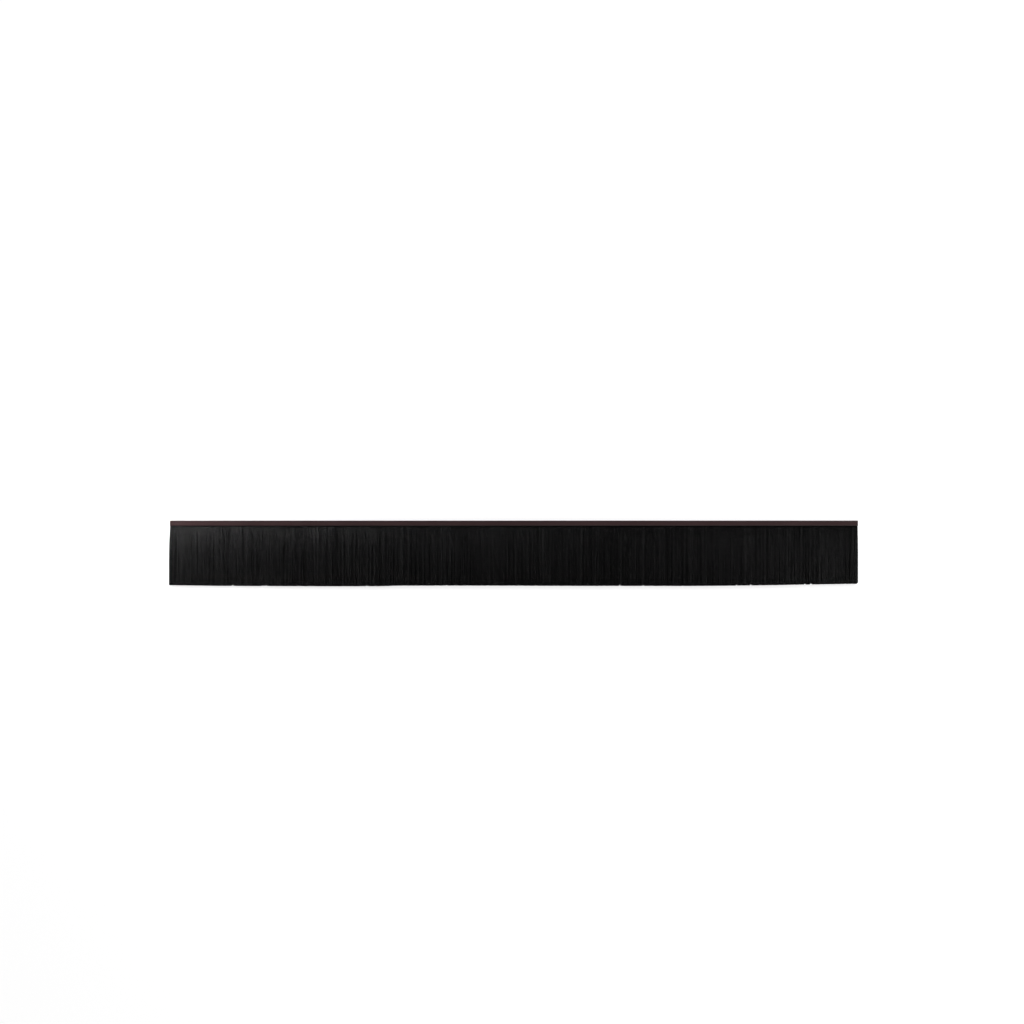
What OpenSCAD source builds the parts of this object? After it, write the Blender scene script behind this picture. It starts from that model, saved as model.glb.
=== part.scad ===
// Brush seal strip: black filaments, doubled round a core wire and crimped into a rolled steel channel.
// The strip lies flat. X runs along it, the tips point to -Y and Z is up from the floor.
// The origin is the middle of the channel's lower side face, which rests on the floor.

/* [Channel] */
// Length of the channel
channel_len = 1000; // [400:10:2000]
// Width of the channel, across its two flat side faces
channel_w = 8; // [7:0.5:12]
// Depth of the channel, from its back to its lips
channel_d = 8; // [7:0.5:12]
// Thickness of the steel that the channel is rolled from
wall = 0.8; // [0.5:0.1:1]
// Outside radius of the four rolled bends
bend_r = 1.6; // [1.2:0.1:2]
// Gap between the lips, where the filaments come out
mouth = 4.4; // [3:0.2:5]

/* [Core wire] */
// Diameter of the wire that the filaments are doubled round
wire_d = 2.2; // [1.5:0.1:3]

/* [Bristles] */
// Free length of the filaments, from the lips to the trimmed tips
bristle_len = 87; // [60:1:150]
// Thickness of the pack at the tips, where it has fanned out
tip_t = 7.4; // [6:0.2:10]
// Distance from the lips over which the pack fans out
fan_len = 50; // [20:1:58]
// How far the filaments stop short of each cut end of the channel
end_gap = 0.4; // [0.2:0.1:2]
// How far the left-hand tips splay out past the channel's end
splay_left = 1.3; // [0:0.1:4]
// How far the right-hand tips splay out past the channel's end
splay_right = 0.1; // [0:0.1:4]

/* [Locks and trim] */
// Mean width of the locks that the filaments gather in
lock_w = 6; // [4:0.5:20]
// How far a lock edge drifts sideways from the lips to the tips, as a share of the room between two notches
lock_lean = 0.45; // [0:0.05:0.45]
// Mean width of the valley between two locks, at the pack's face
valley_w = 1.2; // [0.8:0.1:2]
// Mean depth of the valley between two locks
valley_d = 0.7; // [0.3:0.1:1]
// Deepest notch between two locks along the trimmed edge
notch_d = 2; // [0.5:0.1:4]
// Width of a notch at the trimmed edge
notch_w = 1.2; // [0.6:0.1:2]
// How far the trimmed edge wanders from a straight line
trim_wave = 0.5; // [0:0.1:1.5]
// How much shorter the bristles are trimmed at the right-hand end
trim_rise = 2.4; // [0:0.1:5]
// Length of the strip over which the trim rises to that end
rise_len = 150; // [50:10:200]

/* [Hidden] */
$fn = 64;
// Clearance between the filaments and the steel round them
fit = 0.1;
// Room by which a cutting shape runs past the face that it cuts
over = 0.5;
// Straight steps in each curve of the pack
curve_steps = 6;
// Widest and narrowest lock, as shares of the mean width
lock_range = [0.6, 1.4];
// Widest and narrowest valley, as shares of the mean width and depth
valley_range = [0.6, 1.4];
// Size and angle step of the sine that scatters the locks
scatter_size = 9973;
scatter_turn = 78.2;
// Start angles that fix the locks' widths, their lean on the upper and lower face, the valleys and the notches
width_seed = 7;
upper_seed = 33;
lower_seed = 58;
valley_seed = 12;
notch_seed = 21;
// Wavelengths of the two waves in the trimmed edge
wave_len = [310, 137];

half_len = channel_len / 2;
back_y = channel_d / 2;
mouth_y = -channel_d / 2;
mid_z = channel_w / 2;
tip_y = mouth_y - bristle_len;
bend_in_r = bend_r - wall;
// The folded filaments fill the channel from side to side, and narrow to the gap between the lips.
fold_r = channel_w / 2 - wall - fit;
neck_half = mouth / 2 - fit;
wire_y = back_y - wall - fit - fold_r;
lip_in_y = mouth_y + wall + fit;

lock_count = floor(channel_len / lock_w);
lock_share = scattered(lock_range, lock_count, width_seed);
notch_share = scattered([0, 1], lock_count, notch_seed);
lock_sum = running_sum(lock_share);
// Where each lock ends at the lips, and at the tips on the upper and the lower face
root_edges = [for (i = [0:lock_count - 2]) channel_len * (lock_sum[i] / lock_sum[lock_count - 1] - 0.5)];
lean_max = lock_lean * (lock_w * lock_range[0] - notch_w);
upper_edges = leaning(root_edges, upper_seed);
lower_edges = leaning(root_edges, lower_seed);
valley_share = scattered(valley_range, lock_count, valley_seed);

// Numbers in a range that look random and come out the same each time: the fraction that a large sine leaves
function scattered(range, count, seed) = [for (i = [1:count])
    let (v = scatter_size * sin(scatter_turn * i + seed)) range[0] + (range[1] - range[0]) * (v - floor(v))];

function running_sum(v, i = 0, total = 0) =
    i == len(v) ? [] : concat([total + v[i]], running_sum(v, i + 1, total + v[i]));

// Each edge moved sideways by a scattered amount
function leaning(edges, seed) =
    let (drift = scattered([-lean_max, lean_max], len(edges), seed))
    [for (i = [0:len(edges) - 1]) edges[i] + drift[i]];

// A smooth step from 0 to 1 as t goes from 0 to 1
function ease(t) = let (u = min(max(t, 0), 1)) u * u * (3 - 2 * u);

// How far the pack has fanned out, from 0 at the lips, where it spreads fastest, to 1 at the fan's length
function fanned(d) = let (left = max(1 - d / fan_len, 0)) 1 - left * left;

// Upper and lower face of the pack, at a distance d from the lips
function top_z(d) = mid_z + neck_half + (tip_t - mid_z - neck_half) * fanned(d);
function under_z(d) = (mid_z - neck_half) * (1 - fanned(d));

// The pack's end at a distance d from the lips, counted outwards from the channel's middle
function end_x(d, splay) = half_len - end_gap + (end_gap + splay) * fanned(d);

// The trimmed edge at a place x along the strip
function trim_y(x) = tip_y
    - trim_wave * (sin(360 * x / wave_len[0]) + cos(360 * x / wave_len[1])) / 2
    + trim_rise * ease((x - half_len + rise_len) / rise_len);

// A rectangle centred on the origin, with round corners
module rounded_rect(w, h, r) {
    square([w - 2 * r, h], center = true);
    square([w, h - 2 * r], center = true);
    for (sx = [-1, 1], sy = [-1, 1])
        translate([sx * (w / 2 - r), sy * (h / 2 - r)]) circle(r);
}

// Draws a section in Y and Z and runs it along X, centred on the origin
module along_x(length) {
    translate([-length / 2, 0, 0]) rotate([90, 0, 90]) linear_extrude(length) children();
}

// The rolled channel: a closed back, two flat sides, and lips that turn in to grip the filaments
module channel() {
    color("#3a2d2e")
    along_x(channel_len)
        translate([0, mid_z])
            difference() {
                rounded_rect(channel_d, channel_w, bend_r);
                rounded_rect(channel_d - 2 * wall, channel_w - 2 * wall, bend_in_r);
                translate([mouth_y - over, -mouth / 2]) square([wall + 2 * over, mouth]);
            }
}

module core_wire() {
    color("silver")
    along_x(channel_len) translate([wire_y, mid_z]) circle(d = wire_d);
}

// Section of the doubled filaments inside the channel: a fold round the wire, and a neck between the lips
module root_section() {
    difference() {
        union() {
            translate([wire_y, mid_z]) circle(fold_r);
            polygon([
                [wire_y, mid_z - fold_r],
                [lip_in_y + fold_r - neck_half, mid_z - fold_r],
                [lip_in_y, mid_z - neck_half],
                [mouth_y, mid_z - neck_half],
                [mouth_y, mid_z + neck_half],
                [lip_in_y, mid_z + neck_half],
                [lip_in_y + fold_r - neck_half, mid_z + fold_r],
                [wire_y, mid_z + fold_r],
            ]);
        }
        translate([wire_y, mid_z]) circle(d = wire_d + 2 * fit);
    }
}

// Section of the free filaments: the pack fans out to the floor below it and to its full thickness above
module fan_section() {
    far = bristle_len + trim_wave + over;
    steps = [for (k = [0:curve_steps]) fan_len * k / curve_steps];
    polygon(concat(
        [for (d = steps) [mouth_y - d, under_z(d)]],
        [[mouth_y - far, under_z(far)], [mouth_y - far, top_z(far)]],
        [for (k = [curve_steps:-1:0]) [mouth_y - steps[k], top_z(steps[k])]]
    ));
}

// A V-shaped valley in the upper face, from one place at the lips to another at the tips
module valley(root_x, tip_x, share) {
    run = bristle_len + trim_wave + over;
    lean = atan2(tip_x - root_x, bristle_len);
    deep = valley_d * share;
    spread = valley_w * share / 2 * (deep + over) / deep;
    translate([root_x, mouth_y, tip_t])
        rotate([90, 0, lean])
            linear_extrude(run / cos(lean)) polygon([[-spread, over], [0, -deep], [spread, over]]);
}

// The pack seen from above: ends that splay as it fans out, and a trimmed edge with a notch between locks
module plan_outline() {
    steps = [for (k = [0:curve_steps]) fan_len * k / curve_steps];
    polygon(concat(
        [for (k = [curve_steps:-1:0]) [end_x(steps[k], splay_right), mouth_y - steps[k]]],
        [for (d = steps) [-end_x(d, splay_left), mouth_y - d]],
        [[-end_x(fan_len, splay_left), trim_y(-half_len)]],
        [for (i = [0:lock_count - 2]) let (x = upper_edges[i]) each [
            [x - notch_w / 2, trim_y(x)],
            [x, trim_y(x) + notch_d * notch_share[i]],
            [x + notch_w / 2, trim_y(x)],
        ]],
        [[end_x(fan_len, splay_right), trim_y(half_len)]]
    ));
}

// The filaments, as one pack: the crimped root, and the free length that fans out into locks
module bristle_pack() {
    color("#151515") {
        along_x(channel_len - 2 * end_gap) root_section();
        difference() {
            intersection() {
                along_x(channel_len + 2 * (splay_left + splay_right + over)) fan_section();
                translate([0, 0, -over]) linear_extrude(tip_t + channel_w + over) plan_outline();
            }
            for (i = [0:lock_count - 2]) valley(root_edges[i], upper_edges[i], valley_share[i]);
            translate([0, 0, tip_t]) mirror([0, 0, 1])
                for (i = [0:lock_count - 2])
                    valley(root_edges[i], lower_edges[i], valley_share[lock_count - 1 - i]);
        }
    }
}

channel();
core_wire();
bristle_pack();
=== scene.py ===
import bpy
import numpy as np
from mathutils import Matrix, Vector


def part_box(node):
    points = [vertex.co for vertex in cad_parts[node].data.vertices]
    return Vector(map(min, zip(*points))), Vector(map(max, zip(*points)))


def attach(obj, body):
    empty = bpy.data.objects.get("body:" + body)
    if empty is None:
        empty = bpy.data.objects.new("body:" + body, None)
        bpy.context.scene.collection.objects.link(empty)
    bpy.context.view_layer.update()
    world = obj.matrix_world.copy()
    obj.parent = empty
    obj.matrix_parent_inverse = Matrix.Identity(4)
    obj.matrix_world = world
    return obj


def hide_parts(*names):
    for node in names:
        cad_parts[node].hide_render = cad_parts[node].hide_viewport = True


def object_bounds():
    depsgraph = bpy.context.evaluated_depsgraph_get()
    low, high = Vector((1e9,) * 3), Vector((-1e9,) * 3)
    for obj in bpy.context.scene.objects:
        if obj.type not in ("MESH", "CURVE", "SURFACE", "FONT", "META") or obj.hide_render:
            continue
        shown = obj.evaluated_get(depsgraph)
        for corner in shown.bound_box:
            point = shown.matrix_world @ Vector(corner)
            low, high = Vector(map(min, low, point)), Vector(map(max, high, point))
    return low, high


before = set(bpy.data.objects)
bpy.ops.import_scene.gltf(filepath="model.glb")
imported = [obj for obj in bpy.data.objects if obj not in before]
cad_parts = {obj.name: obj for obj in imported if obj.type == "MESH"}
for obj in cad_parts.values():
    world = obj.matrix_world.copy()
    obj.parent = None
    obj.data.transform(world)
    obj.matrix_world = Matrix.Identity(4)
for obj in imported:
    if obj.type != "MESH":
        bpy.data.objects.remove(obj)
cad_box = [list(corner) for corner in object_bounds()]
MM = 0.001

# Rolled channel
# A strip of 0.8 mm steel, coated dark brown in the coil and rolled into a square C with its lips turned in.
# It is crimped shut on the doubled filaments and cut to length, which leaves the steel bare at both ends.
channel_low, channel_high = (np.array(corner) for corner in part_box("channel"))
half_length = (channel_high[0] - channel_low[0]) / 2
back_y = channel_high[1]
lips_y = channel_low[1]
mid_z = (channel_low[2] + channel_high[2]) / 2
steel = 0.8 * MM
bend_radius = 1.6 * MM
bend_steps = 9
mouth_gap = 4.4 * MM
# The rounding of a lip's sheared edge, and the angles round it, in degrees, at which it is drawn
lip_round = 0.18 * MM
lip_angles = np.linspace(80, 0, 4)
# Painted shade darkens the lips from this far round their bends, in degrees: it stands for the shade under
# them
painted_shade_turn = (18, 42)
# The cut ends are eased by this much, but never to less than this share of the steel's thickness
burr = 0.05 * MM
thinnest = 0.1
# Two stations so many burrs in from each end keep the shading of the long sides flat
near_ends = np.array([6, 2])
rolled_stations = 90
rolled_wobble = 0.035 * MM
# An edge is drawn sharp where the faces turn by more than this, in degrees
sharp_turn = 35
coat_dark = (0.0490, 0.0232, 0.0240, 1)
coat_light = (0.0670, 0.0338, 0.0344, 1)
coat_rubbed = (0.105, 0.075, 0.070, 1)
bare_steel = (0.42, 0.41, 0.40, 1)
dust_grey = (0.20, 0.19, 0.18, 1)
# Near-black painted shade on the lips and their front bends, for the shade under the lips
lip_painted_shade = (0.0070, 0.0050, 0.0050, 1)
# Roughness of the coat between its roll lines and on them, and what dust, the painted shade on the lips and
# rubbing change in it
coat_rough = (0.30, 0.42)
dust_rough = 0.3
painted_shade_rough = 0.3
rubbed_smooth = 0.12


def rolled_section():
    """The C as quarter circles, point = centre + r (cos a, sin a), and half its thickness at each point.

    The angle a runs from 180 to 540 degrees, from lip to lip round the back. The sheared lip edges are
    rounded: over the last stretch, the half thickness falls as the cosine of the angle round the edge. With
    them comes how near each point is to the middle of a bend, and how much painted shade it takes, for the
    shade under the lips, both from 0 to 1."""
    quarter = np.linspace(0, 90, bend_steps)
    edge = np.radians(lip_angles)
    none = 0 * edge
    angle = np.concatenate([180 + none] + [180 + k * 90 + quarter for k in range(4)] + [540 + none])
    front, back = lips_y + bend_radius, back_y - bend_radius
    low, high = channel_low[2] + bend_radius, channel_high[2] - bend_radius
    lip = mouth_gap / 2 + lip_round * (1 - np.sin(edge))
    bends_y = np.repeat([front, back, back, front], bend_steps)
    bends_z = np.repeat([low, low, high, high], bend_steps)
    centre_y = np.concatenate([front + none, bends_y, front + none])
    centre_z = np.concatenate([mid_z - lip, bends_z, mid_z + lip[::-1]])
    half = steel / 2 * np.concatenate([np.cos(edge), np.ones(4 * bend_steps), np.cos(edge[::-1])])
    bent = np.concatenate([none, np.tile(np.sin(np.radians(2 * quarter)), 4), none])
    # Painted shade: full on the lip edges, fading round the front bends towards the back
    turned = np.clip((quarter - painted_shade_turn[0]) / (painted_shade_turn[1] - painted_shade_turn[0]), 0, 1)
    painted_shade_share = np.concatenate([1 + none, turned[::-1], np.zeros(2 * bend_steps), turned, 1 + none])
    return np.radians(angle), centre_y, centre_z, half, bent, painted_shade_share


def mesh_of(name, points, corners, sizes, sharp=None):
    """A mesh object from points, the point of each face corner in turn, and how many corners a face has."""
    mesh = bpy.data.meshes.new(name)
    mesh.vertices.add(len(points))
    mesh.vertices.foreach_set("co", np.asarray(points, np.float32).ravel())
    mesh.loops.add(len(corners))
    mesh.loops.foreach_set("vertex_index", np.asarray(corners, np.int32))
    mesh.polygons.add(len(sizes))
    mesh.polygons.foreach_set("loop_start", (np.cumsum(sizes) - sizes).astype(np.int32))
    mesh.update(calc_edges=True)
    mesh.polygons.foreach_set("use_smooth", np.ones(len(sizes), bool))
    if sharp is not None:
        mesh.set_sharp_from_angle(angle=np.radians(sharp))
    piece = bpy.data.objects.new(name, mesh)
    bpy.context.scene.collection.objects.link(piece)
    return piece


def set_attribute(piece, name, values):
    """Gives each point of the piece its own number, which the materials read by this name."""
    data = piece.data.attributes.new(name, "FLOAT", "POINT").data
    data.foreach_set("value", np.asarray(values, np.float32).ravel())


def carried(name, x, y, z):
    """A closed piece from rings of points along X: quads from ring to ring, and a face on each end.

    A ring's point j and its point m - 1 - j lie across the section from each other, so an end face is the
    row of quads that joins each such pair to the next."""
    rings = np.stack(np.broadcast_arrays(x, y, z), -1)
    count, m = rings.shape[:2]
    at = np.arange(count * m).reshape(count, m)
    around = np.roll(at, -1, axis=1)
    sides = np.stack([at[:-1], at[1:], around[1:], around[:-1]], -1).reshape(-1, 4)
    j = np.arange(m // 2 - 1)
    across = np.stack([j, j + 1, m - 2 - j, m - 1 - j], -1)
    quads = np.concatenate([sides, across, at[-1, 0] + across[:, ::-1]])
    return mesh_of(name, rings.reshape(-1, 3), quads.ravel(), np.full(len(quads), 4), sharp_turn)


def rolled_channel():
    """The C carried along X, there on its outside and back on its inside.

    It wanders by hundredths of a millimetre, as rolled stock does, but never past its back:
    offset = wobble (sin(7 x) + sin(19 x) / 2 - 1.5) / 2, with x in metres."""
    angle, centre_y, centre_z, half, bent, painted_shade_share = rolled_section()
    near, nearer = half_length - near_ends * burr
    inside = np.linspace(-near, near, rolled_stations)
    x = np.concatenate([[-half_length, -nearer], inside, [nearer, half_length]])[:, None]
    eased = np.where(np.abs(x) > half_length - burr, burr, 0)
    thick = np.maximum(half - eased, thinnest * half)
    radius = bend_radius - steel / 2
    r = np.concatenate([radius + thick, radius - thick[:, ::-1]], axis=1)
    both = np.concatenate([angle, angle[::-1]])
    wander = rolled_wobble * (np.sin(7 * x) + np.sin(19 * x) / 2 - 1.5) / 2
    y = np.concatenate([centre_y, centre_y[::-1]]) + r * np.cos(both) + wander
    z = np.concatenate([centre_z, centre_z[::-1]]) + r * np.sin(both)
    piece = carried("rolled_channel", x, y, z)
    set_attribute(piece, "bare", np.broadcast_to(eased / burr, y.shape))
    set_attribute(piece, "bend", np.broadcast_to(np.concatenate([bent, bent[::-1]]), y.shape))
    set_attribute(piece, "lip", np.broadcast_to(np.concatenate([painted_shade_share, painted_shade_share[::-1]]), y.shape))
    return piece


def put(tree, kind, inputs=(), **settings):
    """A node with these settings. An input is a number, a colour or another node's output."""
    made = tree.nodes.new("ShaderNode" + kind)
    for name, value in settings.items():
        setattr(made, name, value)
    for key, value in dict(inputs).items():
        if isinstance(value, bpy.types.NodeSocket):
            tree.links.new(value, made.inputs[key])
        else:
            made.inputs[key].default_value = value
    return made


def reading(tree, value, low, high, out_low=0.0, out_high=1.0):
    """The value spread from low..high to out_low..out_high, and held there."""
    inputs = {"Value": value, "From Min": low, "From Max": high, "To Min": out_low, "To Max": out_high}
    return put(tree, "MapRange", inputs).outputs["Result"]


def blended(tree, factor, a, b):
    """Colour a where the factor is 0 and colour b where it is 1."""
    return put(tree, "Mix", {"Factor": factor, 6: a, 7: b}, data_type="RGBA").outputs[2]


def computed(tree, a, b, operation="MULTIPLY"):
    """a times b, or what another operation makes of the two."""
    return put(tree, "Math", {0: a, 1: b}, operation=operation).outputs[0]


def noise(tree, place, scale, detail):
    """A noise of this scale and detail."""
    return put(tree, "TexNoise", {"Vector": place, "Scale": scale, "Detail": detail}).outputs["Fac"]


def stretched(tree, place, squeeze):
    """Coordinates squeezed along each axis, so that a noise read there comes out longer by as much."""
    return put(tree, "VectorMath", {0: place, 1: squeeze}, operation="MULTIPLY").outputs[0]


def attribute(tree, name):
    """The number that each point of the piece has under this name."""
    return put(tree, "Attribute", attribute_name=name).outputs["Fac"]


def effect_group(name, inputs, outputs):
    """An empty node group with a Vector input, number inputs and number outputs, and its two end nodes."""
    tree = bpy.data.node_groups.new(name, "ShaderNodeTree")
    tree.interface.new_socket("Vector", in_out="INPUT", socket_type="NodeSocketVector")
    for socket, value in inputs.items():
        made = tree.interface.new_socket(socket, in_out="INPUT", socket_type="NodeSocketFloat")
        made.default_value = value
    for socket in outputs:
        tree.interface.new_socket(socket, in_out="OUTPUT", socket_type="NodeSocketFloat")
    return tree, tree.nodes.new("NodeGroupInput").outputs, tree.nodes.new("NodeGroupOutput").inputs


def settled_dust_group():
    """Dust: fine specks where one noise tops its threshold, thicker in the patches of a slower noise."""
    settings = {"Fineness": 2500.0, "Amount": 0.5}
    tree, given, gives = effect_group("settled_dust", settings, ("Mask",))
    specks = reading(tree, noise(tree, given["Vector"], given["Fineness"], 2.0), 0.60, 0.74)
    patches = reading(tree, noise(tree, given["Vector"], 23.0, 3.0), 0.40, 0.72, 0.15, 1.0)
    mask = computed(tree, specks, patches)
    tree.links.new(computed(tree, mask, given["Amount"]), gives["Mask"])
    return tree


def drawn_lines_group():
    """The fine lines that rolls and dies leave: a noise stretched along X by a hundred times."""
    tree, given, gives = effect_group("drawn_lines", {"Fineness": 3500.0}, ("Lines",))
    along = stretched(tree, given["Vector"], (0.01, 1.0, 1.0))
    lines = noise(tree, along, given["Fineness"], 3.0)
    tree.links.new(reading(tree, lines, 0.3, 0.7), gives["Lines"])
    return tree


settled_dust = settled_dust_group()
drawn_lines = drawn_lines_group()


def grouped(tree, group, inputs):
    """The output of an effect group, placed with its own values."""
    return put(tree, "Group", inputs, node_tree=group).outputs[0]


def new_material(name):
    """A material, its tree, its Principled shader and the object's own coordinates."""
    material = bpy.data.materials.new(name)
    material.use_nodes = True
    tree = material.node_tree
    return material, tree, tree.nodes["Principled BSDF"], put(tree, "TexCoord").outputs["Object"]


def feed(tree, shader, outputs):
    """Links nodes' outputs to the shader's inputs of these names."""
    for name, output in outputs.items():
        tree.links.new(output, shader.inputs[name])


def emboss(tree, shader, height, strength, distance):
    """Gives the shader's surface a relief as bump."""
    bump = put(tree, "Bump", {"Height": height, "Strength": strength, "Distance": distance})
    tree.links.new(bump.outputs["Normal"], shader.inputs["Normal"])


def coat_material():
    """Satin coil coat: drifting brown, orange peel, roll lines, rubbed bends, dust, painted shade on the
    lips and bare ends.
    """
    material, tree, shader, place = new_material("dark_brown_coil_coat")
    drift = noise(tree, place, 14.0, 4.0)
    peel = noise(tree, place, 1800.0, 2.0)
    rub = noise(tree, place, 160.0, 5.0)
    lines = grouped(tree, drawn_lines, {"Vector": place, "Fineness": 2600.0})
    dust = grouped(tree, settled_dust, {"Vector": place, "Fineness": 3200.0, "Amount": 0.5})
    rubbed = computed(tree, attribute(tree, "bend"), reading(tree, rub, 0.5, 0.75))
    # The lips' front bends are blended to near black: painted shade, for the shade under the lips
    lip_painted_shade_mask = computed(tree, attribute(tree, "lip"), reading(tree, rub, 0.3, 0.5, 0.75, 0.95))
    bare = reading(tree, attribute(tree, "bare"), 0.35, 0.6)
    tone = blended(tree, reading(tree, drift, 0.3, 0.7), coat_dark, coat_light)
    tone = blended(tree, computed(tree, rubbed, 0.3), tone, coat_rubbed)
    tone = blended(tree, dust, tone, dust_grey)
    tone = blended(tree, lip_painted_shade_mask, tone, lip_painted_shade)
    tone = blended(tree, bare, tone, bare_steel)
    rough = reading(tree, lines, 0.0, 1.0, *coat_rough)
    rough = computed(tree, rough, computed(tree, dust, dust_rough), "ADD")
    rough = computed(tree, rough, computed(tree, lip_painted_shade_mask, painted_shade_rough), "ADD")
    rough = computed(tree, rough, computed(tree, rubbed, rubbed_smooth), "SUBTRACT")
    feed(tree, shader, {"Base Color": tone, "Metallic": bare, "Roughness": rough})
    height = computed(tree, computed(tree, peel, 0.6), computed(tree, lines, 0.4), "ADD")
    emboss(tree, shader, height, 0.35, 0.02 * MM)
    return material


coat = coat_material()
channel = rolled_channel()
channel.data.materials.append(coat)
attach(channel, "root")
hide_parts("channel")

# Core wire
# Galvanised steel wire, drawn to 2.2 mm. The filaments are folded over it, and the crimped lips hold it in.
# It is cut with the channel, so its two sheared ends show inside the fold.
wire_low, wire_high = (np.array(corner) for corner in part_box("core_wire"))
wire_radius = (wire_high[2] - wire_low[2]) / 2
wire_y = (wire_high[1] + wire_low[1]) / 2
wire_points = 28
wire_stations = 40
# Stations at these distances from each end of the wire, and the room up to the even ones between
wire_end_steps = np.array([0, 0.1, 0.3]) * MM
wire_end_room = 2 * MM
# A cutter narrows the wire over this length from each end, by up to this share of its radius
nip_length = 0.3 * MM
nip_share = 0.1
zinc_grey = (0.50, 0.51, 0.52, 1)
zinc_dark = (0.30, 0.31, 0.32, 1)
sheared_grey = (0.46, 0.455, 0.45, 1)
zinc_rough = (0.28, 0.44)
sheared_rough = 0.15


def drawn_wire():
    """A circle carried along X. Near an end it is smaller: radius (1 - share (1 - distance / length)^2)."""
    inside = half_length - wire_end_room
    ends = half_length - wire_end_steps
    x = np.concatenate([-ends, np.linspace(-inside, inside, wire_stations), ends[::-1]])[:, None]
    nip = np.clip(1 - (half_length - np.abs(x)) / nip_length, 0, 1)
    r = wire_radius * (1 - nip_share * nip**2)
    a = 2 * np.pi * (np.arange(wire_points) + 0.5) / wire_points
    y = wire_y + r * np.cos(a)
    z = mid_z + r * np.sin(a)
    piece = carried("drawn_wire", x, y, z)
    set_attribute(piece, "cut", np.broadcast_to(nip, y.shape))
    return piece


def wire_material():
    """Drawn zinc: fine die lines in two greys, a little dust, and brighter, rougher sheared ends."""
    material, tree, shader, place = new_material("drawn_galvanised_wire")
    lines = grouped(tree, drawn_lines, {"Vector": place, "Fineness": 5200.0})
    dust = grouped(tree, settled_dust, {"Vector": place, "Fineness": 5000.0, "Amount": 0.35})
    cut = attribute(tree, "cut")
    shear = noise(tree, place, 2400.0, 4.0)
    tone = blended(tree, lines, zinc_dark, zinc_grey)
    tone = blended(tree, computed(tree, cut, reading(tree, shear, 0.35, 0.65)), tone, sheared_grey)
    tone = blended(tree, dust, tone, dust_grey)
    rough = reading(tree, lines, 0.0, 1.0, *zinc_rough)
    rough = computed(tree, rough, computed(tree, cut, sheared_rough), "ADD")
    feed(tree, shader, {"Base Color": tone, "Roughness": rough})
    shader.inputs["Metallic"].default_value = 1.0
    emboss(tree, shader, computed(tree, lines, computed(tree, cut, shear), "ADD"), 0.4, 0.02 * MM)
    return material


wire = drawn_wire()
wire.data.materials.append(wire_material())
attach(wire, "root")
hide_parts("core_wire")

# Filaments
# Black extruded polypropylene, about 0.3 mm thick, cut to twice the free length and doubled over the wire.
# The pack leaves the lips 4.2 mm thick, fans out to the floor and to its full thickness, and lies in locks.
filament_radius = 0.16 * MM
radius_range = (0.9, 1.1)
tube_sides = 3
free_length = 87 * MM
neck_half = 2.1 * MM
fan_length = 50 * MM
tip_thickness = 7.4 * MM
splay_left = 1.3 * MM
splay_right = 0.1 * MM
root_inset = 0.4 * MM
channel_depth = back_y - lips_y
# Mean width of a lock, the widest and narrowest as shares of it, and how far its edges lean to the tips
lock_width = 6 * MM
lock_range = (0.6, 1.4)
lock_lean = 0.45
# The valley between two locks, and the notch that it leaves in the trimmed edge
valley_width = 1.2 * MM
valley_depth = 0.7 * MM
valley_range = (0.6, 1.4)
notch_width = 1.2 * MM
notch_depth = 2 * MM
# Size and angle step of the sine that scatters the locks, and where it starts for each of their measures
scatter_size = 9973
scatter_turn = 78.2
width_seed = 7
upper_seed = 33
lower_seed = 58
valley_seed = 12
notch_seed = 21
# The trim, as the length from the channel's back to the tips at places along the strip
trim_places = np.array([-500, -434, -376, -260, -195, -165, -27, 89, 263, 321, 379, 437, 500]) * MM
trim_lengths = np.array([94.0, 94.9, 95.2, 95.6, 95.5, 94.6, 94.6, 95.0, 95.1, 94.6, 93.9, 92.8, 91.9]) * MM
# The few wide gaps that cut into the trimmed edge: place along the strip, and depth
gap_places = np.array([-408.6, -365.3, -360.2, -213.9, -98, 154, 188, 324, 344.5, 423, 431.7]) * MM
gap_depths = np.array([2.6, 1.8, 2.4, 2.2, 1.0, 2.4, 2.0, 1.8, 2.2, 1.8, 2.4]) * MM
gap_half_width = 1.3 * MM
# The round corner of the trim at the right-hand end
corner_depth = 2.2 * MM
corner_width = 2.5 * MM
# Mean width of a strand within the locks, and the widest and narrowest as shares of it
strand_width = 2.2 * MM
strand_range = (0.35, 1.65)
# How far a strand, and a filament on its own, lean and bow sideways, and the share of its way to the
# strand's middle that a filament is drawn in
strand_lean = 0.9 * MM
own_lean = 0.2 * MM
strand_bow = 0.35 * MM
own_bow = 0.12 * MM
drawn_in = 0.22
# How deep a strand lies, how much deeper its two sides lie, and how deep a filament lies on its own
strand_sink = 0.2 * MM
strand_round = 0.1 * MM
own_sink = 0.06 * MM
# How loose the strands lie in the strip's middle, as a share of how loose they lie at its two ends
middle_loose = 0.3
# Room left to a lock's edge, as shares of its width, and how unevenly the filaments are spaced and trimmed
edge_room = (0.01, 0.1)
spacing_scatter = 0.33
trim_scatter = 0.14 * MM
# The filaments of the faces start this far inside the lips
lips_tuck = 0.9 * MM
# Shades, where 0 is the darkest tone: the usual one with its scatter and its limits, and the few pale ones
usual_shade = 0.3
shade_scatter = 0.07
shade_limits = (0.15, 0.6)
pale_range = (0.6, 0.9)
pale_share = 0.006
filament_dark = (0.0009, 0.0009, 0.0010, 1)
filament_pale = (0.0062, 0.0062, 0.0065, 1)
filament_drift = (0.0018, 0.0018, 0.0020, 1)
filament_dust = (0.10, 0.10, 0.10, 1)
# Roughness from the darkest shade to the palest, and specular level from painted shade to unshaded
filament_rough = (0.27, 0.20)
filament_gloss = (0.08, 0.5)
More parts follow.
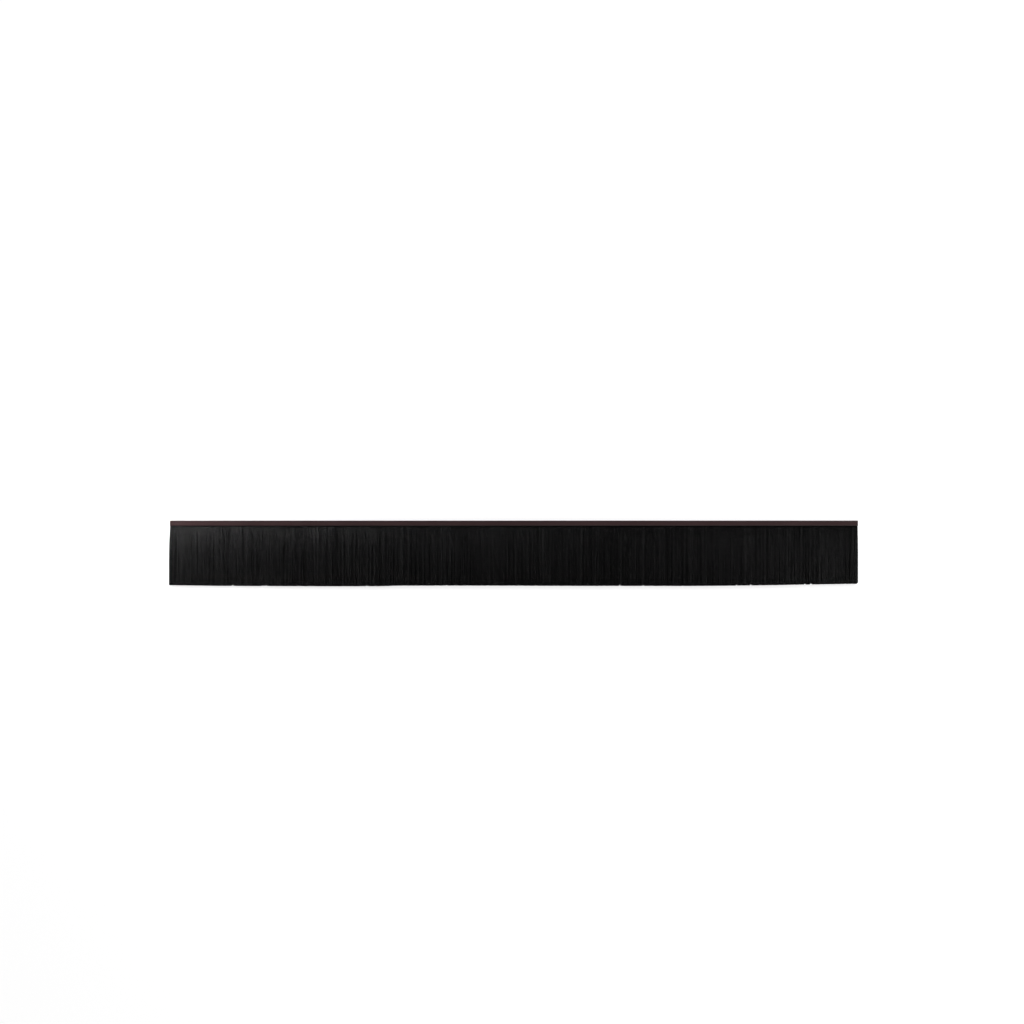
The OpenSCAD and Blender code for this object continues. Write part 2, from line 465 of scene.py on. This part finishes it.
# Painted shade dulls the filaments over this length from the lips, where the lips shade them, and below this
# shade, in the hollows between locks
root_shade_length = 3 * MM
hollow_shade_limit = 0.12
# A filament's stripe on the map: its height against its width, where its sides start and how wide they
# are, and its caps, all as shares of the stripe
stripe_aspect = 60
side_start = 0.05
side_width = 0.3
cap_height = 0.03
cap_places = np.array([0.1, 0.5, 0.9])
cap_peak = np.array([0, 1, 0])


def scattered(low, high, count, seed):
    """Numbers in a range that look random and come out the same each time: the fraction that a large sine,
    v = size sin(turn i + seed), leaves above the whole number below it."""
    v = scatter_size * np.sin(np.radians(scatter_turn * np.arange(1, count + 1) + seed))
    return low + (high - low) * (v - np.floor(v))


def leaning(seed):
    """Places of the lock edges at the tips. Each has drifted by less than the room in a narrow lock."""
    most = lock_lean * (lock_width * lock_range[0] - notch_width)
    return lock_roots + np.concatenate([[0], scattered(-most, most, lock_count - 1, seed), [0]])


lock_count = int(2 * half_length / lock_width)
lock_shares = scattered(*lock_range, lock_count, width_seed)
lock_roots = half_length * (2 * np.concatenate([[0], np.cumsum(lock_shares)]) / lock_shares.sum() - 1)
lock_tips = {1: leaning(upper_seed), -1: leaning(lower_seed)}
valley_shares = scattered(*valley_range, lock_count, valley_seed)
valleys = {1: np.r_[0, valley_shares[:-1], 0], -1: np.r_[0, valley_shares[:0:-1], 0]}
notches = notch_depth * scattered(0, 1, lock_count, notch_seed)[:-1]


def ease(t):
    """A smooth step, 3 t^2 - 2 t^3, held at 0 below t = 0 and at 1 above t = 1."""
    t = np.clip(t, 0, 1)
    return t * t * (3 - 2 * t)


def fanned(reach):
    """How far the pack has fanned out: 1 - (1 - reach / length)^2, so it spreads fastest at the lips."""
    return 1 - np.clip(1 - reach / fan_length, 0, 1) ** 2


def pack_top(reach):
    """Height of the pack's upper face at a distance from the lips."""
    return mid_z + neck_half + (tip_thickness - mid_z - neck_half) * fanned(reach)


def pack_under(reach):
    """Height of the pack's lower face at a distance from the lips."""
    return (mid_z - neck_half) * (1 - fanned(reach))


def edge_at(face, edge, reach):
    """Place along the strip of a lock's edge: on a straight line from lips to tips, or on the splaying end.

    The face is 1 for the upper one and -1 for the lower one."""
    straight = lock_roots[edge] + (lock_tips[face][edge] - lock_roots[edge]) * reach / free_length
    left = root_inset - half_length - (root_inset + splay_left) * fanned(reach)
    right = half_length - root_inset + (root_inset + splay_right) * fanned(reach)
    return np.where(edge == 0, left, np.where(edge == lock_count, right, straight))


def across_lock(face, lock, share, reach):
    """Place along the strip of a filament that has this share of its lock's width on its left."""
    left = edge_at(face, lock, reach)
    return left + share * (edge_at(face, lock + 1, reach) - left)


def face_height(face, lock, share, reach):
    """Height of the pack's face there. At a distance off from a lock's edge, the valley cuts into it by
    depth (valley's share - 2 off / width)."""
    width = edge_at(face, lock + 1, reach) - edge_at(face, lock, reach)
    left = valleys[face][lock] - 2 * share * width / valley_width
    right = valleys[face][lock + 1] - 2 * (1 - share) * width / valley_width
    cut = valley_depth * np.clip(np.maximum(left, right), 0, None)
    if face > 0:
        return np.minimum(pack_top(reach), tip_thickness - cut)
    return np.maximum(pack_under(reach), cut)


def in_locks(x):
    """Which lock each place at the lips belongs to, and the share of its width on the left of it."""
    lock = np.clip(np.searchsorted(lock_roots, x) - 1, 0, lock_count - 1)
    return lock[:, None], ((x - lock_roots[lock]) / (lock_roots[lock + 1] - lock_roots[lock]))[:, None]


def vees(x, places, depths, half_width):
    """Depth at x of the deepest V, depth (1 - |x - place| / half width), that reaches there."""
    return (depths * np.clip(1 - np.abs(x[:, None] - places) / half_width, 0, 1)).max(axis=1)


def trimmed_reach(x):
    """Distance from the lips to the trim at x: the trim line, less the gaps and notches, and less the round
    right corner, which is depth (1 - distance from the end / width)^2."""
    line = np.interp(x, trim_places, trim_lengths) - channel_depth
    gap = vees(x, gap_places, gap_depths, gap_half_width)
    notch = vees(x, lock_tips[1][1:-1], notches, notch_width / 2)
    corner = corner_depth * np.clip(1 - (half_length - x) / corner_width, 0, 1) ** 2
    return line - np.maximum(gap, notch) - corner


def strand_edges(rng):
    """Edges of strands of random width that fill the strip from end to end."""
    shares = rng.uniform(*strand_range, int(2 * half_length / strand_width))
    return half_length * (2 * np.cumsum(shares) / shares.sum() - 1)


def spaced(rng, n):
    """Places of n filaments along the strip, evenly spaced but for a third of a space either way."""
    step = 2 * (half_length - root_inset) / n
    strayed = rng.uniform(-spacing_scatter, spacing_scatter, n)
    return -half_length + root_inset + step * (np.arange(n) + 0.5 + strayed)


def stripes(n, k):
    """Map places of the face corners of n tubes with k stations.

    Each tube has a stripe of its own: its sides lie next to each other, with a cap at either end."""
    rows = int(np.ceil(np.sqrt(n / stripe_aspect)))
    columns = int(np.ceil(n / rows))
    left = (np.arange(n) % columns)[:, None]
    low = (np.arange(n) // columns)[:, None]
    u = (left + side_start + side_width * np.arange(tube_sides + 1)) / columns
    v = (low + np.linspace(cap_height, 1 - cap_height, k)) / rows
    spot = np.stack(np.broadcast_arrays(u[:, None, :], v[:, :, None]), -1)
    sides = np.stack([spot[:, :-1, :-1], spot[:, :-1, 1:], spot[:, 1:, 1:], spot[:, 1:, :-1]], 3)
    cap_u = (left + cap_places) / columns
    root = np.stack([cap_u, (low + cap_height * cap_peak) / rows], -1)
    tip = np.stack([cap_u, (low + 1 - cap_height * cap_peak) / rows], -1)
    return np.concatenate([sides.reshape(-1, 2), np.stack([root, tip], 1).reshape(-1, 2)])


def tubes(name, paths, radius, shade, rng):
    """Three-sided tubes along paths[filament, station], closed at both ends.

    A station's corners lie at p + r (cos a X' + sin a Z'), where X' is the strip's length square to the
    filament and Z' is square to both. The sides are drawn smooth, and the rims of the two ends sharp."""
    n, k = paths.shape[:2]
    along = np.gradient(paths, axis=1)
    along /= np.linalg.norm(along, axis=2, keepdims=True)
    side = np.array([1.0, 0, 0]) - along * along[:, :, :1]
    side /= np.linalg.norm(side, axis=2, keepdims=True)
    up = np.cross(along, side)
    corner_turn = 2 * np.pi / tube_sides * np.arange(tube_sides)[:, None]
    a = rng.uniform(0, 2 * np.pi, n)[:, None, None, None] + corner_turn
    ring = radius[:, None, None, None] * (np.cos(a) * side[:, :, None] + np.sin(a) * up[:, :, None])
    points = paths[:, :, None] + ring
    at = np.arange(n * k * tube_sides).reshape(n, k, tube_sides)
    around = np.roll(at, -1, axis=2)
    sides = np.stack([at[:, :-1], around[:, :-1], around[:, 1:], at[:, 1:]], -1)
    caps = np.stack([at[:, 0, ::-1], at[:, -1]], 1)
    corners = np.concatenate([sides.ravel(), caps.ravel()])
    side_count = n * (k - 1) * tube_sides
    sizes = np.concatenate([np.full(side_count, 4), np.full(n * 2, tube_sides)])
    piece = mesh_of(name, points.reshape(-1, 3), corners, sizes)
    piece.data.polygons.foreach_set("use_smooth", np.arange(len(sizes)) < side_count)
    ends = np.empty(len(piece.data.edges) * 2, np.int32)
    piece.data.edges.foreach_get("vertices", ends)
    station = ends.reshape(-1, 2) // tube_sides
    rim = (station[:, 0] == station[:, 1]) & np.isin(station[:, 0] % k, (0, k - 1))
    piece.data.edges.foreach_set("use_edge_sharp", rim)
    set_attribute(piece, "shade", np.broadcast_to(shade[:, None, None], at.shape))
    on_map = piece.data.uv_layers.new(name="OFBake").uv
    on_map.foreach_set("vector", stripes(n, k).astype(np.float32).ravel())
    return piece


def filament_material():
    """Black polypropylene: near black and satin, each filament a little paler or darker than the next.

    Their gloss is cut as painted shade where they leave the lips and in the hollows between locks, where the
    shade is low."""
    material, tree, shader, place = new_material("black_polypropylene_filament")
    shade = attribute(tree, "shade")
    drift = reading(tree, noise(tree, place, 60.0, 3.0), 0.35, 0.65, 0.0, 0.35)
    dust = grouped(tree, settled_dust, {"Vector": place, "Fineness": 2200.0, "Amount": 0.12})
    tone = blended(tree, shade, filament_dark, filament_pale)
    tone = blended(tree, drift, tone, filament_drift)
    tone = blended(tree, dust, tone, filament_dust)
    forward = put(tree, "SeparateXYZ", {"Vector": place}).outputs["Y"]
    # Painted shade: the gloss falls near the lips and where the shade is low, in the hollows between locks
    clear_of_lips = reading(tree, forward, lips_y, lips_y - root_shade_length)
    clear_of_hollow = reading(tree, shade, 0.0, hollow_shade_limit, 0.2, 1.0)
    unshaded = computed(tree, clear_of_lips, clear_of_hollow, "MINIMUM")
    rough = reading(tree, shade, 0.0, 1.0, *filament_rough)
    gloss = reading(tree, unshaded, 0.0, 1.0, *filament_gloss)
    feed(tree, shader, {"Base Color": tone, "Roughness": rough, "Specular IOR Level": gloss})
    lines = noise(tree, stretched(tree, place, (1.0, 0.02, 1.0)), 9000.0, 1.0)
    emboss(tree, shader, lines, 0.2, 0.01 * MM)
    return material


filament_coat = filament_material()


def laid(name, paths, rng, hollow=0):
    """A piece of filaments. Each is paler or darker by its shade: most are near the usual one, a few are
    pale by chance, and those deep in the hollow between two locks are darkened towards 0 as painted shade."""
    n = len(paths)
    chosen = rng.random(n) < pale_share
    pale = rng.uniform(*pale_range, n)
    usual = np.clip(rng.normal(usual_shade, shade_scatter, n), *shade_limits)
    # Filaments deep in a hollow between locks are darkened: painted shade
    shade = np.where(chosen, pale, usual) * np.clip(1 - hollow, 0, 1)
    piece = tubes(name, paths, filament_radius * rng.uniform(*radius_range, n), shade, rng)
    piece.data.materials.append(filament_coat)
    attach(piece, "root")
    return piece


def combed(rng, x, shares, depth, face):
    """Paths of filaments that leave the lips at x, with a station at each share of their free length.

    Each filament keeps within its lock. At a share s of its length it has moved sideways by
    lean s^1.3 + bow sin(pi s) with its strand, by less of the same on its own, and to its strand's middle.
    Strands lie looser towards the strip's two ends than in its middle.
    It lies below the pack's face by its layer, its strand's depth and how far off the strand's middle it is.
    With the paths comes how deep each tip lies in the valley between two locks, as a share of its depth."""
    n = len(x)
    s = shares[None, :]
    edges = strand_edges(rng)
    strand = np.clip(np.searchsorted(edges, x), 1, len(edges) - 1)
    middle = (edges[strand - 1] + edges[strand]) / 2
    off = (x - middle) / (edges[strand] - edges[strand - 1]) * 2
    loose = middle_loose + (1 - middle_loose) * np.abs(x) / half_length
    lean = loose * rng.normal(0, strand_lean, len(edges))[strand] + rng.normal(0, own_lean, n)
    bow = loose * rng.normal(0, strand_bow, len(edges))[strand] + rng.normal(0, own_bow, n)
    moved = lean[:, None] * s**1.3 + bow[:, None] * np.sin(np.pi * s)
    moved = moved - drawn_in * (x - middle)[:, None] * ease(s * 1.2)
    lock, share = in_locks(x)
    share = share + moved / (lock_roots[lock + 1] - lock_roots[lock])
    margin = rng.uniform(*edge_room, (n, 1)) * s
    share = np.clip(share, margin, 1 - margin)
    tip_x = across_lock(face, lock, share[:, -1:], free_length)[:, 0]
    reach = (trimmed_reach(tip_x) + rng.normal(0, trim_scatter, n))[:, None] * s
    sunk = loose * (strand_sink * rng.random(len(edges))[strand] ** 1.6 + strand_round * off**2)
    sunk = sunk + np.abs(rng.normal(0, own_sink, n))
    below = filament_radius + depth + sunk[:, None] * ease(s * 1.6 + 0.08)
    surface = face_height(face, lock, share, reach)
    even = pack_top(reach) if face > 0 else pack_under(reach)
    hollow = np.abs(even - surface)[:, -1] / valley_depth
    forward = lips_y - np.where(s == 0, -lips_tuck, reach)
    along = across_lock(face, lock, share, reach)
    return np.stack([along, forward, surface - face * below], -1), hollow


def layers(name, seed, count, depths, face, stations):
    """One piece of combed filaments, in a layer at each of these depths below the pack's face."""
    rng = np.random.default_rng(seed)
    shares = np.linspace(0, 1, stations) ** 0.9
    paths, hollow = zip(*[combed(rng, spaced(rng, count), shares, depth, face) for depth in depths])
    return laid(name, np.concatenate(paths), rng, np.concatenate(hollow))


layer_count = 3000
upper = layers("filaments_upper", 101, layer_count, [0.0], 1, 6)
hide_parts("bristle_pack")
layers("filaments_upper_second", 102, layer_count, [0.30 * MM, 0.60 * MM], 1, 5)
layers("filaments_under", 103, layer_count, [0.0, 0.30 * MM], -1, 5)

# Doubled filaments at the cut ends
# At each end of the strip the outermost filaments show whole: from the tips in between the lips, round the
# wire and out again. They fill the side of the pack over its full thickness.
end_columns = 18
end_layers = 6
column_pitch = 0.17 * MM
column_scatter = 0.1 * MM
level_scatter = 0.15
fold_clearance = 0.1 * MM
# Stations along the free length, as shares of it from the tips, and how far they stray up and down
free_steps = np.linspace(1, 0.2, 5)[None, :]
free_wander = 0.2 * MM
# The trim is read where a filament has splayed by this share
splayed = 0.9
# Stations between the lips and the wire, as shares of the way, and where the neck has widened to the fold
inside_steps = np.array([[1.0, 0.78, 0.5, 0.25]])
neck_share = 0.78
fold_turn = np.radians(np.linspace(90, -90, 13))[None, :]


def doubled(rng, sign):
    """Whole filaments at one end: free length, straight run, half circle round the wire, and back again.

    A filament's share w of the half thickness, from 0 in the middle to 1 at the face, gives the radius of
    its half circle, inner + w (outer - inner), its place in the neck, w half the neck, and its level beyond
    it, (1 +- w) / 2 of the pack's thickness."""
    column, level = (grid.reshape(-1, 1) for grid in np.mgrid[0:end_columns, 0:end_layers])
    n = column.size
    strayed = rng.uniform(-level_scatter, level_scatter, (n, 1))
    w = (level + 0.25 + 0.5 * (column % 2) + strayed) / end_layers
    inner = wire_radius + filament_radius
    radius = inner + w * (back_y - steel - wire_y - fold_clearance - filament_radius - inner)
    inset = root_inset + column_pitch * column + rng.uniform(0, column_scatter, (n, 1))
    splay = root_inset + (splay_left if sign < 0 else splay_right)
    end_x = sign * (half_length - inset + splay * splayed)
    reach = trimmed_reach(end_x[:, 0])[:, None] + rng.normal(0, trim_scatter, (n, 1))
    reach = reach * free_steps
    free_x = sign * (half_length - inset + splay * fanned(reach))
    low = pack_under(reach) + filament_radius
    high = pack_top(reach) - filament_radius
    wander = rng.normal(0, free_wander, (2, n, 1)) * np.sin(np.pi * free_steps) * free_steps
    upper_z = np.clip(low + (1 + w) / 2 * (high - low) + wander[0], low, high)
    lower_z = np.clip(low + (1 - w) / 2 * (high - low) + wander[1], low, high)
    inside_y = wire_y + (lips_y - wire_y) * inside_steps + 0 * w
    inside_z = radius + (w * (neck_half - filament_radius) - radius) * ease(inside_steps / neck_share)
    fold_y = wire_y + radius * np.cos(fold_turn)
    fold_z = mid_z + radius * np.sin(fold_turn)
    held_x = np.repeat(sign * (half_length - inset), 2 * inside_steps.size + fold_turn.size, axis=1)
    x = [free_x, held_x, free_x[:, ::-1]]
    y = [lips_y - reach, inside_y, fold_y, inside_y[:, ::-1], lips_y - reach[:, ::-1]]
    z = [upper_z, mid_z + inside_z, fold_z, mid_z - inside_z[:, ::-1], lower_z[:, ::-1]]
    return np.stack([np.concatenate(x, 1), np.concatenate(y, 1), np.concatenate(z, 1)], -1)


rng = np.random.default_rng(104)
laid("doubled_filaments", np.concatenate([doubled(rng, -1), doubled(rng, 1)]), rng)

# Trimmed tips
# Between its two faces the pack is full of filaments, whose cut ends show along the trimmed edge.
# They are laid from a little way behind the trim, where a plain dark core takes over inside the pack.
tip_count = 13000
tip_lengths = (8 * MM, 24 * MM)
# Levels between the faces, room below the upper face, slant up and sideways, and uneven trim
tip_levels = (0.04, 0.86)
tip_room = 0.35 * MM
tip_slant = 0.15 * MM
tip_scatter = 0.2 * MM
# How far the core keeps from the faces, the trim and the pack's ends, and its fold's radius
core_inset = 1.35 * MM
core_stop = 4.5 * MM
core_end = 1.5 * MM
fold_radius = 2.5 * MM
fold_angles = np.radians([88, 70, 50, 30, 10, -10])
# The core's fold ends this far inside the lips, and its last place in the channel is this far inside
fold_end = 1 * MM
core_neck = 0.8 * MM
core_stations = 41
core_steps = 12
core_dark = (0.0006, 0.0006, 0.0006, 1)
core_pale = (0.003, 0.003, 0.003, 1)
core_rough = (0.85, 0.7)
core_gloss = 0.1


def tip_filaments(rng, n):
    """Ends of filaments at random levels between the faces. They keep to their locks, as the faces do."""
    lock, share = in_locks(spaced(rng, n))
    level = rng.uniform(*tip_levels, (n, 1))

    def between(reach):
        lower = across_lock(-1, lock, share, reach)
        return (1 - level) * lower + level * across_lock(1, lock, share, reach)

    tip = trimmed_reach(between(free_length)[:, 0])[:, None] + rng.normal(0, tip_scatter, (n, 1))
    reach = np.concatenate([tip - rng.uniform(*tip_lengths, (n, 1)), tip], axis=1)
    low = face_height(-1, lock, share, reach) + filament_radius
    high = face_height(1, lock, share, reach) - filament_radius - tip_room
    slant = rng.normal(0, tip_slant, (2, n, 1)) * np.array([-1.0, 1.0])
    z = np.clip(low + level * (high - low) + slant[0], low, high)
    return np.stack([between(reach) + slant[1], lips_y - reach, z], -1)


for part, seed in (("first", 106), ("second", 107)):
    rng = np.random.default_rng(seed)
    laid(f"trimmed_tips_{part}", tip_filaments(rng, tip_count), rng)


def pack_core():
    """The dark heart of the pack: its section in Y and Z, drawn in from every face, carried along X.

    Its half height follows the fold's circle round the wire, then the neck, then the faces of the fan."""
    x = np.linspace(-1, 1, core_stations)[:, None] * (half_length - root_inset - core_end)
    stop = np.interp(x, trim_places, trim_lengths) - channel_depth - core_stop
    inside_y = np.append(wire_y + fold_radius * np.sin(fold_angles), lips_y + core_neck)
    inside_y = np.broadcast_to(inside_y, (core_stations, len(inside_y)))
    y = np.concatenate([inside_y, lips_y - np.linspace(0, 1, core_steps) * stop], axis=1)
    reach = np.maximum(lips_y - y, 0)
    round_wire = np.sqrt(np.maximum(fold_radius**2 - (y - wire_y) ** 2, 0))
    in_fold = y > lips_y + fold_end
    high = np.where(in_fold, mid_z + round_wire, pack_top(reach) - core_inset)
    low = np.where(in_fold, mid_z - round_wire, pack_under(reach) + core_inset)
    there_and_back = np.concatenate([y, y[:, ::-1]], axis=1)
    return carried("pack_core", x, there_and_back, np.concatenate([high, low[:, ::-1]], axis=1))


def core_material():
    """The shade deep between filaments: almost black, with lines along the filaments."""
    material, tree, shader, place = new_material("shade_between_filaments")
    lines = noise(tree, stretched(tree, place, (1.0, 0.03, 1.0)), 2500.0, 2.0)
    tone = blended(tree, reading(tree, lines, 0.35, 0.65), core_dark, core_pale)
    rough = reading(tree, lines, 0.0, 1.0, *core_rough)
    feed(tree, shader, {"Base Color": tone, "Roughness": rough})
    shader.inputs["Specular IOR Level"].default_value = core_gloss
    emboss(tree, shader, lines, 0.8, 0.2 * MM)
    return material


core = pack_core()
core.data.materials.append(core_material())
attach(core, "root")

# Floor, lights and camera
# The strip lies on a pale floor, and the camera looks straight down on it. Four softboxes light it from
# above, and small lamps beyond its two ends rake along it, which gives the filaments their sheen.
floor_half = 6.0
floor_gap = 0.02 * MM
floor_tone = (0.62, 0.62, 0.62, 1)
floor_rough = 0.95
# Light added to the floor where the camera or a clear reflection sees it, so that it comes out white
floor_lift = 0.74
# Light that the room gives the strip, where 1 is white
room_glow = 0.085
# Up to this height, as the sine of an angle, reflections see the room's white walls
wall_height = (0.12, 0.2)
white = (1, 1, 1, 1)
# The photo's width, the strip's length in it and the middle of the strip's back, in pixels
photo_pixels = 1024
strip_pixels = 688.2
strip_centre = (513.9, 520.5)
lens = 135.0
sensor = 36.0
view_limit = 50


def floor_material():
    """Pale matt floor with the strip's shadow. The camera and clear reflections see it lifted to white."""
    material, tree, shader = new_material("pale_floor")[:3]
    shader.inputs["Base Color"].default_value = floor_tone
    shader.inputs["Roughness"].default_value = floor_rough
    shader.inputs["Specular IOR Level"].default_value = 0.0
    path = put(tree, "LightPath").outputs
    seen = computed(tree, path["Is Camera Ray"], path["Is Glossy Ray"], "MAXIMUM")
    seen = computed(tree, seen, path["Is Transmission Ray"], "MAXIMUM")
    lift = put(tree, "Emission", {"Strength": computed(tree, seen, floor_lift)})
    both = put(tree, "AddShader", {0: shader.outputs["BSDF"], 1: lift.outputs["Emission"]})
    tree.links.new(both.outputs["Shader"], tree.nodes["Material Output"].inputs["Surface"])
    return material


def floor_sheet():
    """A flat square just under the strip's lowest level."""
    corner = np.array([[-1.0, -1.0], [1.0, -1.0], [1.0, 1.0], [-1.0, 1.0]]) * floor_half
    points = np.concatenate([corner, np.full((4, 1), cad_box[0][2] - floor_gap)], axis=1)
    sheet = mesh_of("floor", points, np.arange(4), np.array([4]))
    sheet.data.materials.append(floor_material())


def soft_light(name, place, aim, size, power, spread=180):
    """A square lamp at a place, turned to a point. Its light keeps within a cone of so many degrees."""
    data = bpy.data.lights.new(name, "AREA")
    data.size = size
    data.energy = power
    data.spread = np.radians(spread)
    lamp = bpy.data.objects.new(name, data)
    bpy.context.scene.collection.objects.link(lamp)
    lamp.location = place
    lamp.visible_camera = False
    lamp.rotation_euler = (Vector(aim) - Vector(place)).to_track_quat("-Z", "Y").to_euler()


def soft_room():
    """A dim world that the camera sees as white, and so do reflections that leave the strip low enough."""
    world = bpy.data.worlds.new("soft_room")
    world.use_nodes = True
    tree = world.node_tree
    path = put(tree, "LightPath").outputs
    place = put(tree, "TexCoord").outputs["Generated"]
    height = put(tree, "SeparateXYZ", {"Vector": place}).outputs["Z"]
    mirrored = computed(tree, path["Is Glossy Ray"], path["Is Transmission Ray"], "MAXIMUM")
    mirrored = computed(tree, mirrored, reading(tree, height, wall_height[1], wall_height[0]))
    seen = computed(tree, path["Is Camera Ray"], mirrored, "MAXIMUM")
    strength = computed(tree, computed(tree, seen, 1 - room_glow), room_glow, "ADD")
    background = tree.nodes["Background"]
    background.inputs["Color"].default_value = white
    tree.links.new(strength, background.inputs["Strength"])
    bpy.context.scene.world = world


def straight_down_camera():
    """A long lens, so far up that a pixel at the strip's upper side is as long as in the photo."""
    metres_per_pixel = 2 * half_length / strip_pixels
    distance = photo_pixels * metres_per_pixel * lens / sensor
    data = bpy.data.cameras.new("camera")
    data.lens = lens
    data.sensor_width = sensor
    data.clip_end = view_limit
    camera = bpy.data.objects.new("camera", data)
    bpy.context.scene.collection.objects.link(camera)
    centre_x = (photo_pixels / 2 - strip_centre[0]) * metres_per_pixel
    centre_y = back_y + (strip_centre[1] - photo_pixels / 2) * metres_per_pixel
    camera.location = (centre_x, centre_y, distance + channel_high[2])
    bpy.context.scene.camera = camera


floor_sheet()
soft_light("left_lamp", (-0.71, 0.04, 0.21), (-0.47, -0.03, 0), 0.09, 0.145, 75)
soft_light("left_tips_lamp", (-0.72, -0.075, 0.22), (-0.45, -0.06, 0), 0.09, 0.13)
soft_light("right_lamp", (1.1, 0.08, 0.4), (0.4, -0.02, 0), 0.3, 0.36)
soft_light("right_tips_lamp", (0.72, -0.07, 0.17), (0.47, -0.07, 0), 0.12, 0.022, 75)
soft_light("back_left_softbox", (-1.9, 1.9, 2.3), (0, 0, 0), 1.2, 10)
soft_light("back_right_softbox", (1.9, 1.9, 2.3), (0, 0, 0), 1.2, 44)
soft_light("front_left_softbox", (-1.9, -1.9, 2.3), (0, 0, 0), 1.2, 6)
soft_light("front_right_softbox", (1.9, -1.9, 2.3), (0, 0, 0), 1.2, 22)
soft_room()
straight_down_camera()
bpy.context.scene.view_settings.view_transform = "Standard"
